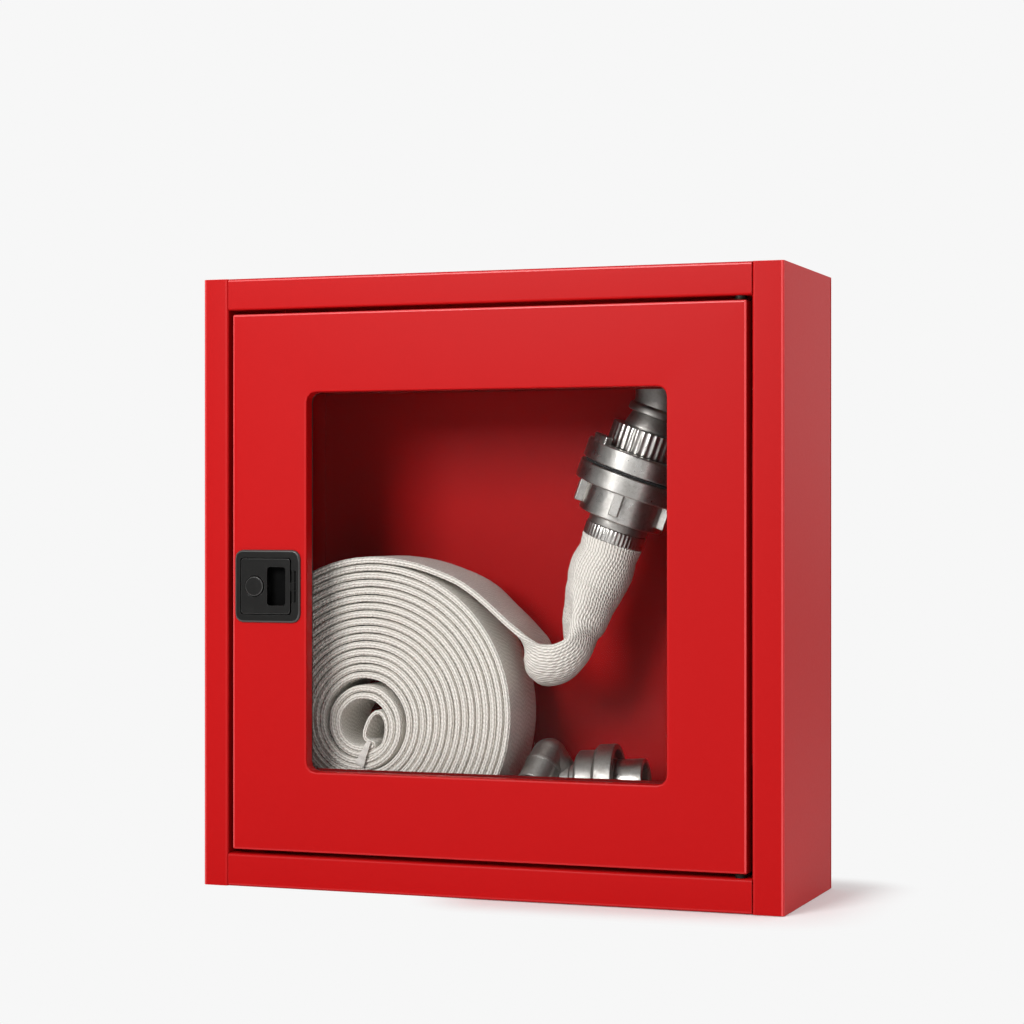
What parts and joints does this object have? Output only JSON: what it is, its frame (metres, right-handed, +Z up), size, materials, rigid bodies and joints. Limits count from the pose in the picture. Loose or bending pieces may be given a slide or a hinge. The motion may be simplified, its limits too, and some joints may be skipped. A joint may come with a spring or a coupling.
{
  "type": "standpipe cabinet",
  "caption": "Wall cabinet for a fire hose: red steel case, glazed hinged door with a flush turn latch, angle valve, couplings and a rolled lay-flat hose.",
  "frame": {"origin": "middle of the underside of the base", "axes": "+Z up, +Y into the wall, +X towards the hinge side"},
  "size_m": [0.64, 0.2088, 0.65],
  "materials": {
    "red_paint": "satin",
    "black_plastic": "fine grain",
    "clear_pane": "clear",
    "black_rubber": "matt",
    "zinc_steel": "zinc plated",
    "cast_alloy": "as cast",
    "brass": "satin",
    "wheel_paint": "satin",
    "woven_hose": "woven polyester"
  },
  "bodies": {
    "case": {"left_side_panel": "red_paint", "right_side_panel": "red_paint", "top_panel": "red_paint", "bottom_panel": "red_paint", "back_panel": "red_paint", "floor_shelf": "red_paint", "cam_keeper": "red_paint", "door_stop_upper": "red_paint", "door_stop_lower": "red_paint", "branch_bracket": "red_paint", "inlet_grommet": "black_rubber", "coupling_seal": "black_rubber", "upper_hinge_pin": "zinc_steel", "lower_hinge_pin": "zinc_steel", "outlet_elbow": "cast_alloy", "outlet_adapter": "cast_alloy", "union_nut": "cast_alloy", "valve_lock_ring": "cast_alloy", "hose_tail": "cast_alloy", "hose_ferrule": "cast_alloy", "end_tail": "cast_alloy", "end_ferrule": "cast_alloy", "branch_elbow": "cast_alloy", "branch_ring": "cast_alloy", "branch_tail": "cast_alloy", "valve_body": "brass", "valve_bonnet": "brass", "gland_nut": "brass", "hose_lead": "woven_hose", "hose_roll": "woven_hose", "hose_run": "woven_hose", "roll_tie": "woven_hose"},
    "door": {"door_panel": "red_paint", "window_pane": "clear_pane", "window_gasket": "black_rubber", "glazing_strip_top": "red_paint", "glazing_strip_bottom": "red_paint", "glazing_strip_right": "red_paint", "glazing_strip_left_upper": "red_paint", "glazing_strip_left_lower": "red_paint", "upper_hinge_bush": "brass", "lower_hinge_bush": "brass", "latch_bezel": "black_plastic", "flap_hinge_pin": "zinc_steel", "lock_barrel": "zinc_steel", "barrel_nut": "zinc_steel"},
    "flap": {"latch_flap": "black_plastic"},
    "lock": {"lock_knob": "black_plastic", "lock_cam": "zinc_steel", "cam_screw": "zinc_steel"},
    "handwheel": {"valve_stem": "zinc_steel", "handwheel": "wheel_paint", "handwheel_nut": "zinc_steel"},
    "valve_disc": {"valve_disc": "brass"},
    "hose_ring": {"hose_lock_ring": "cast_alloy"},
    "end_ring": {"end_lock_ring": "cast_alloy"},
    "branch_ring_body": {"branch_lock_ring": "cast_alloy"}
  },
  "joints": [
    {"name": "door_hinge", "type": "hinge", "parent": "case", "child": "door", "pos_m": [0.2738, -0.0945, 0.325], "axis": [0, 0, 1], "range_deg": [0, 110]},
    {"name": "latch_flap_hinge", "type": "hinge", "parent": "door", "child": "flap", "pos_m": [-0.21365, -0.1024, 0.32135], "axis": [0, 0, 1], "range_deg": [0, 75]},
    {"name": "lock_turn", "type": "hinge", "parent": "door", "child": "lock", "pos_m": [-0.25855, -0.1025, 0.32135], "axis": [0, 1, 0], "range_deg": [0, 90]},
    {"name": "handwheel_turn", "type": "hinge", "parent": "case", "child": "handwheel", "pos_m": [0.24197, 0.0075, 0.5638], "axis": [0, -1, 0], "range_deg": [0, 1080]},
    {"name": "disc_slide", "type": "slide", "parent": "case", "child": "valve_disc", "axis": [0, -1, 0], "range_m": [0, 0.018]},
    {"name": "hose_ring_turn", "type": "hinge", "parent": "case", "child": "hose_ring", "pos_m": [0.1063, 0.0075, 0.3701], "axis": [0.342, 0, 0.9397], "range_deg": [0, 40]},
    {"name": "end_ring_turn", "type": "hinge", "parent": "case", "child": "end_ring", "pos_m": [0.196, 0, 0.0903], "axis": [1, 0, 0], "range_deg": [0, 40]},
    {"name": "branch_ring_turn", "type": "hinge", "parent": "case", "child": "branch_ring_body", "pos_m": [0.0735, -0.003, 0.109], "axis": [0.9936, 0.0957, 0.06], "range_deg": [0, 40]}
  ],
  "couplings": [
    {"joint": "disc_slide", "follows": "handwheel_turn", "m_per_rad": 0.0009496}
  ]
}
